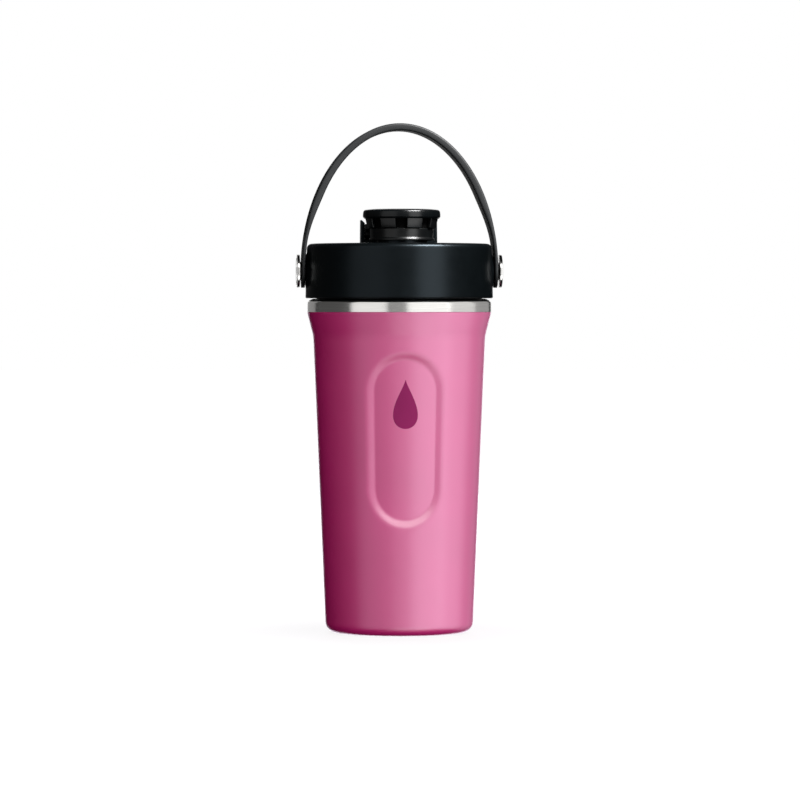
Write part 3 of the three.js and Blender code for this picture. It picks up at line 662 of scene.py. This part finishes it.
def small_rings():
    """The mouth seal, and what is inside the cap: its face seal, sleeve, a near-black matt neck ring that
    paints the shade in the gaps between the grip teeth, and hinge pin.
    """
    tip, top = SPOUT_TOP_Z / MM, CAP_TOP_Z / MM
    sleeve_r, foot = SLEEVE_R / MM, SLEEVE_Z / MM
    under_top = top - 2.1
    seal = [
        (39.1, 151.8, 0.4), (41.2, 151.8, 0.4), (41.4, 152.5, 0.3), (40.0, 153.2, 0.3),
        (39.1, 153.2, 0.3),
    ]
    ring = revolved(outline(seal, True), closed=True).build("mouth_seal")
    piece(ring, "lid_seal", "silicone", SILICONE, "lid_gasket")
    face = [
        (0, tip + 0.3), (10.2, tip + 0.3), (10.6, tip + 0.5, 0.2), (13.0, tip + 0.5, 0.2),
        (13.9, tip + 0.3, 0.2), (13.9, under_top, 0.2), (0, under_top),
    ]
    pad = revolved(outline(face, spacing=1.5), 160, place=AT_SPOUT).build("spout_seal")
    piece(pad, "cap", "silicone", SILICONE, "spout_gasket")
    sleeve = [
        (14.2, foot, 0.3), (sleeve_r + 0.3, foot, 0.35), (sleeve_r + 0.25, foot + 0.75, 0.5),
        (sleeve_r - 0.3, foot + 1.6, 0.9), (sleeve_r - 0.1, foot + 6.0, 0.5), (15.0, foot + 6.0, 0.2),
        (15.0, under_top, 0.2), (14.2, under_top, 0.2),
    ]
    collar = revolved(outline(sleeve, True, 2), closed=True, place=AT_SPOUT).build("cap_inner_sleeve")
    piece(collar, "cap", "gloss_black", GLOSS_BLACK, "cap_sleeve")
    # A ring that stands for no CAD part, in the near-black matt material: painted shade in the gaps between
    # the grip teeth.
    band = [(14.9, top - 9.3), (15.3, top - 9.3, 0.1), (15.3, top - 4.6), (14.9, top - 4.6)]
    neck = revolved(outline(band, True), closed=True, place=AT_SPOUT).build("cap_neck")
    piece(neck, "cap", "lid_black", GAP_SHADE_BLACK)
    pin = [(0, -18.4), (1.0, -18.4, 0.3), (1.0, 18.4, 0.3), (0, 18.4)]
    hinge_pin = revolved(outline(pin), 48, place=HINGE_FRAME).build("hinge_pin")
    piece(hinge_pin, "lid", "steel", BUTTON_STEEL, "cap_hinge_pin")


small_rings()

# ---- flip cap -------------------------------------------------------------------------------------
TOOTH_COUNT = 8
TOOTH_HALF_SPAN = math.radians(13)
TOOTH_PHASE = math.radians(17.5 - 90)
TOOTH_ROOT, TOOTH_FOOT, TOOTH_HEAD = 15.2, 16.9, 18.0  # mm: radii behind, at the foot and at the head
BARREL_R, BARREL_HALF = 3.0, 17  # mm
ARM_HALF, LEAF_HALF, LEAF_TALL = 7, 16.9, 5.2  # mm


def grip_teeth():
    """The grip teeth under the cap's flange: flat-faced blocks that taper downwards."""
    foot, head = CAP_TOP_Z - 9.4 * MM, CAP_TOP_Z - 4.4 * MM
    plan = Plan()
    for i in range(TOOTH_COUNT):
        verts = []
        turn = Matrix.Rotation(TOOTH_PHASE + 2 * math.pi * i / TOOTH_COUNT, 3, "Z")
        for side in (-1, 1):
            for radius, z in ((TOOTH_ROOT, foot), (TOOTH_FOOT, foot), (TOOTH_HEAD, head), (TOOTH_ROOT, head)):
                across = side * radius * math.tan(TOOTH_HALF_SPAN) * MM
                verts.append(turn @ Vector((radius * MM, across, z)))
        plan.add(verts, [(3, 2, 1, 0), (4, 5, 6, 7), (0, 1, 5, 4), (1, 2, 6, 5), (2, 3, 7, 6), (3, 0, 4, 7)])
    teeth = bevelled(plan.build("grip_teeth", 30), 0.28, 3)
    teeth.data.transform(AT_SPOUT)
    return teeth


piece(grip_teeth(), "cap", "gloss_black", GLOSS_BLACK)


def flip_cap():
    """The cap's flange, with the arm, hinge leaf and barrel that carry it."""
    top, rim = CAP_TOP_Z / MM, CAP_R / MM
    corners = [
        (0, top), (14.5, top, 6), (rim - 0.3, top - 0.45, 1.9), (rim, top - 2.6, 0.5), (rim, top - 3.9, 0.7),
        (rim - 0.8, top - 4.8, 0.7), (15.3, top - 4.8, 0.2), (15.3, top - 1.8, 0.3), (0, top - 1.8),
    ]
    cap = revolved(outline(corners, spacing=1.2)).build("flip_cap", 45)
    cap.data.transform(AT_SPOUT)
    y, z = HINGE_Y / MM, HINGE_Z / MM
    front = (SPOUT_Y + SLEEVE_R) / MM + 0.3
    arm = [
        (y - 1.5, z), (y + BARREL_R, z), (y + BARREL_R - 0.6, z + 3.6, 2), (y - 1.8, top - 4.5, 2),
        (y - 2.4, top - 4.0), (front, top - 4.0), (front, z + 2.4, 1),
    ]
    lever = bevelled(prism(outline(arm, True), ARM_HALF * MM, "X").build("arm", 30), 0.35)
    combine(cap, lever, "UNION")
    leaf = [(y - 1.4, z), (y + 1.4, z), (y + 1.4, z + LEAF_TALL, 0.8), (y - 1.4, z + LEAF_TALL, 0.8)]
    plate = prism(outline(leaf, True), LEAF_HALF * MM, "X").build("leaf", 30)
    combine(cap, bevelled(plate, 0.3), "UNION")
    barrel = [
        (0, -BARREL_HALF), (BARREL_R, -BARREL_HALF, 0.5), (BARREL_R, BARREL_HALF, 0.5), (0, BARREL_HALF),
    ]
    combine(cap, revolved(outline(barrel, spacing=3), 64, place=HINGE_FRAME).build("barrel"), "UNION")
    return combine(cap, rod(HINGE_HOLE_R, -18, 18, HINGE_FRAME, 32), "DIFFERENCE")


piece(flip_cap(), "cap", "lid_black", CAP_BLACK, "spout_cap")

# ---- strap ----------------------------------------------------------------------------------------
STRAP_THIN = 1.7 * MM
STRAP_THICK = 3.6 * MM
STRAP_EDGE = 1.0 * MM
GROOVE_DEPTH = 0.45 * MM
TAB_STEPS, ARCH_STEPS = 16, 140
SWELL_FROM, SWELL_TO = 13 * MM, 40 * MM  # above the pivots, where the band thickens
GROOVE_FROM, GROOVE_TO = 12 * MM, 22 * MM  # above the pivots, where the groove sets in


def strap_stations():
    """Stations from the right tab over the arch to the left tab.

    Each one is a point of the outer face, the outward normal, the thickness and the half width.
    """
    rise = STRAP_TOP_Z - PIVOT_Z
    width = STRAP_HALF_WIDTH
    stations = []
    for i in range(TAB_STEPS):
        drop = width * math.cos(math.pi / 2 * i / TAB_STEPS)
        half = math.sqrt(max(0.0, width * width - drop * drop))
        stations.append((Vector((STRAP_REACH, 0, PIVOT_Z - drop)), Vector((1, 0, 0)), STRAP_THIN, half))
    for i in range(ARCH_STEPS + 1):
        angle = math.pi * i / ARCH_STEPS
        at = Vector((STRAP_REACH * math.cos(angle), 0, PIVOT_Z + rise * math.sin(angle)))
        normal = Vector((math.cos(angle) / STRAP_REACH, 0, math.sin(angle) / rise)).normalized()
        grow = smoothstep(SWELL_FROM, SWELL_TO, at.z - PIVOT_Z)
        stations.append((at, normal, STRAP_THIN + (STRAP_THICK - STRAP_THIN) * grow, width))
    for at, _, thick, half in reversed(stations[:TAB_STEPS]):
        stations.append((Vector((-at.x, 0, at.z)), Vector((-1, 0, 0)), thick, half))
    return stations


def strap_section(thick, half, groove):
    """Section points (across, depth below the outer face), rounded, with a shallow groove outside."""
    edge = min(STRAP_EDGE, thick * 0.45, half * 0.9)
    flat = half - edge
    arc = 5
    steps = 12
    right = []
    for depth, start in ((edge, 0), (thick - edge, 1)):
        for k in range(arc + 1):
            turn = math.pi / 2 * (start + k / arc)
            right.append((flat + edge * math.sin(turn), depth - edge * math.cos(turn)))
    top = []
    for k in range(1, steps):
        across = -flat + 2 * flat * k / steps
        top.append((across, groove * (1 - smoothstep(flat * 0.5, flat * 0.78, abs(across)))))
    left = [(-across, depth) for across, depth in reversed(right)]
    return top + right + left


def carry_strap():
    """The strap: its section drawn through every station, with a hole at each pivot."""
    verts = []
    faces = []
    stations = strap_stations()
    for at, normal, thick, half in stations:
        deep = GROOVE_DEPTH * smoothstep(GROOVE_FROM, GROOVE_TO, at.z - PIVOT_Z)
        for across, depth in strap_section(thick, max(half, 0.05 * MM), deep):
            verts.append(at - normal * depth + Vector((0, across, 0)))
    width = len(verts) // len(stations)
    for i in range(len(stations) - 1):
        for j in range(width):
            k = (j + 1) % width
            faces.append((i * width + j, i * width + k, (i + 1) * width + k, (i + 1) * width + j))
    faces.append(tuple(range(width)))
    last = (len(stations) - 1) * width
    faces.append(tuple(range(last + width - 1, last - 1, -1)))
    plan = Plan()
    plan.add(verts, faces)
    strap = plan.build("strap_band", 50)
    return combine(strap, rod(PIVOT_HOLE_R, -60, 60, pivot_frame(1)), "DIFFERENCE")


piece(carry_strap(), "strap", "strap_rubber", STRAP_BLACK, "carry_strap")


BUTTON_R = 8.35  # mm
POST_R = 2.4  # mm


def strap_pivot(label, side):
    """One strap pivot: the grooved steel button, the bush that the strap turns on, and the rivet."""
    back = BUTTON_BACK / MM
    face, groove = back + 1.3, back + 0.8
    button = [
        (0, back - 0.5), (2.1, back - 0.5, 0.1), (2.1, back - 0.1, 0.1), (BUTTON_R, back - 0.1, 0.25),
        (BUTTON_R, face, 0.4), (6.9, face, 0.3), (6.5, groove, 0.2), (5.8, groove, 0.3),
        (5.4, face, 0.4), (0, face),
    ]
    place = pivot_frame(side)
    disc = revolved(outline(button, spacing=0.8), 160, place=place).build("disc", 45)
    disc = combine(disc, rod(POST_R, back + 0.4, back + 3, place, 6), "DIFFERENCE")
    disc.name = "button_" + label
    piece(disc, "lid", "steel", BUTTON_STEEL, "strap_button_" + label)
    bush = [(2.7, 43.2, 0.2), (4.6, 43.2, 0.2), (4.6, back - 0.3, 0.2), (2.7, back - 0.3, 0.2)]
    sleeve = revolved(outline(bush, True), 96, closed=True, place=place).build("bush_" + label)
    piece(sleeve, "lid", "gloss_black", GLOSS_BLACK, "strap_bush_" + label)
    post = [
        (0, 40.2), (5.0, 40.2, 0.8), (5.0, 42.6, 0.2), (POST_R, 42.6, 0.2),
        (POST_R, back - 0.8, 0.3), (0, back - 0.8),
    ]
    rivet = revolved(outline(post), 96, place=place).build("post_" + label)
    piece(rivet, "lid", "steel", BUTTON_STEEL, "strap_post_" + label)


strap_pivot("left", -1)
strap_pivot("right", 1)

# ---- CAD pieces that are right as they are --------------------------------------------------------
for node, material in (("lid_insulation", FOAM), ("mixing_grid", LID_BLACK)):
    carried = frame["nodes"][node]
    carried.data.materials.clear()
    carried.data.materials.append(material)

# ---- floor, lights and camera ---------------------------------------------------------------------
TARGET = Vector((0, 0, 0.12))
VIEW_AZIMUTH = math.radians(-4.5)


def pale_floor():
    """A wide white disc that is shaded near the bottle and fades into the white beyond it; its glow is
    painted light, weaker near the bottle than beyond.
    """
    material = bpy.data.materials.new("pale_floor")
    material.use_nodes = True
    tree = material.node_tree
    shader = tree.nodes["Principled BSDF"]
    shader.inputs["Base Color"].default_value = (0.12, 0.12, 0.12, 1)
    shader.inputs["Roughness"].default_value = 0.9
    shader.inputs["Specular IOR Level"].default_value = 0.1
    shader.inputs["Emission Color"].default_value = (1, 1, 1, 1)
    place = tree.nodes.new("ShaderNodeTexCoord")
    far = tree.nodes.new("ShaderNodeVectorMath")
    far.operation = "LENGTH"
    # The glow's strength by distance from the middle: painted light, lower near the bottle and up to white
    # beyond.
    fade = tree.nodes.new("ShaderNodeMapRange")
    fade.inputs["From Min"].default_value = 0.05
    fade.inputs["From Max"].default_value = 0.2
    fade.inputs["To Min"].default_value = 0.88
    fade.inputs["To Max"].default_value = 1.05
    tree.links.new(place.outputs["Object"], far.inputs[0])
    tree.links.new(far.outputs["Value"], fade.inputs["Value"])
    tree.links.new(fade.outputs["Result"], shader.inputs["Emission Strength"])
    rows = [Vector((r, 0)) for r in (0, 0.5, 2.5, 4.5, 9.0)]
    floor = revolved(rows, 96).build("pale_floor")
    floor.data.transform(Matrix.Translation((0, 0, -0.0002)))
    floor.data.materials.append(material)
    floor.visible_diffuse = False
    floor.visible_glossy = False
    floor.visible_shadow = False


def softbox(name, azimuth, height, distance, size, radiance, tint, lit):
    """An area light for the pieces in lit. Azimuth 0 is at the camera, and it grows to the camera's right."""
    lamp = bpy.data.lights.new(name, "AREA")
    lamp.shape = "RECTANGLE"
    lamp.size, lamp.size_y = size
    lamp.energy = radiance * math.pi * size[0] * size[1]
    lamp.color = tint
    angle = math.radians(azimuth) + VIEW_AZIMUTH
    at = Vector((distance * math.sin(angle), -distance * math.cos(angle), height))
    obj = bpy.data.objects.new(name, lamp)
    obj.location = at
    obj.rotation_euler = (at - TARGET).to_track_quat("Z", "Y").to_euler()
    obj.visible_camera = False
    bpy.context.scene.collection.objects.link(obj)
    group = bpy.data.collections.new(name + "_lit")
    for receiver in lit:
        group.objects.link(receiver)
    obj.light_linking.receiver_collection = group
    return obj


# Upright white cards round the bottle: name, azimuth, distance, width, and how bright each one is
# for the painted cup, for the bare steel and for the black plastics.
CARD_HEIGHT, CARD_TALL = 0.15, 2.3
CARDS = (
    ("paint_key", 42, 1.3, 1.3, (1.68, 0, 0)),
    ("steel_key", 38, 1.3, 1.36, (0, 1.3, 0)),
    ("black_key", 40, 1.3, 0.8, (0, 0, 1.9)),
    ("right_wrap", 86, 1.45, 1.2, (1.45, 0.85, 0)),
    ("right_rim", 130, 1.5, 1.2, (0.5, 0.38, 0)),
    ("front_fill", 0, 1.3, 0.52, (0.85, 0.34, 0.14)),
    ("left_card", -38, 1.4, 1.24, (0.52, 1.05, 0.55)),
    ("left_fill", -95, 1.5, 1.6, (0, 0.085, 0.04)),
    ("left_rim", -150, 1.5, 1.2, (0, 0.3, 0.04)),
    ("back_card", 180, 1.6, 0.9, (2.4, 0.9, 0.55)),
)
# Cards above and below, each for one group: name, azimuth, height, distance, size, radiance, group.
HIGH_AND_LOW = (
    ("black_high", 48, 1.12, 0.84, (0.6, 0.4), 60.0, "black"),
    ("paint_high", 12, 1.05, 1.05, (1.0, 0.9), 2.5, "paint"),
    ("paint_low", 20, -0.75, 0.95, (1.2, 0.6), 0.8, "paint"),
    ("buttons_above", 0, 0.95, 0.9, (1.6, 0.5), 2.5, "buttons"),
    ("buttons_below", 0, -0.7, 0.8, (1.6, 0.6), 2.0, "buttons"),
    ("left_bounce", -80, 0.3, 1.5, (1.0, 1.0), 1.2, "paint"),
)
PAINTED = ("coated_shell", "drop_mark", "base_dish", "pale_floor")
WHITE = (1, 1, 1)
PAINT_TINT = (1.0, 0.91, 1.07)


def lit_groups():
    """The visible pieces by what lights them: the painted cup, bare steel, black plastics and buttons."""
    pieces = [obj for obj in bpy.data.objects if obj.type == "MESH" and obj.name not in frame["nodes"]]
    pieces += [frame["nodes"][name] for name in ("lid_insulation", "mixing_grid")]
    steels = (BUTTON_STEEL.name, RING_STEEL.name)
    paint = [obj for obj in pieces if obj.name in PAINTED]
    steel = [obj for obj in pieces if any(name in obj.data.materials for name in steels)]
    black = [obj for obj in pieces if obj not in paint and obj not in steel]
    buttons = [obj for obj in steel if obj.name.startswith("button_")]
    return {"paint": paint, "steel": steel, "black": black, "buttons": buttons}


def studio():
    groups = lit_groups()
    for card, azimuth, distance, width, brightness in CARDS:
        for group, radiance in zip(("paint", "steel", "black"), brightness):
            if radiance:
                tint = PAINT_TINT if group == "paint" else WHITE
                size = (width, CARD_TALL)
                name = card + "_" + group
                softbox(name, azimuth, CARD_HEIGHT, distance, size, radiance, tint, groups[group])
    for name, azimuth, height, distance, size, radiance, group in HIGH_AND_LOW:
        lamp = softbox(name, azimuth, height, distance, size, radiance, WHITE, groups[group])
        lamp.visible_glossy = name != "left_bounce"
    world = bpy.data.worlds.new("white_world")
    world.use_nodes = True
    world.node_tree.nodes["Background"].inputs["Color"].default_value = (1, 1, 1, 1)
    world.node_tree.nodes["Background"].inputs["Strength"].default_value = 1.0
    bpy.context.scene.world = world
    world.cycles_visibility.diffuse = False
    world.cycles_visibility.glossy = False
    bpy.context.scene.view_settings.view_transform = "Standard"


CAMERA_AT = Vector((0.0004, -2.24, 0.164))
CAMERA_DIP = 1.22  # degrees below level


def camera():
    data = bpy.data.cameras.new("camera")
    data.sensor_width = 36
    data.lens = 201
    data.clip_end = 50
    obj = bpy.data.objects.new("camera", data)
    turn = Matrix.Rotation(VIEW_AZIMUTH, 4, "Z")
    tilt = Matrix.Rotation(math.radians(90 - CAMERA_DIP), 4, "X")
    obj.matrix_world = turn @ Matrix.Translation(CAMERA_AT) @ tilt
    bpy.context.scene.collection.objects.link(obj)
    bpy.context.scene.camera = obj


pale_floor()
studio()
camera()
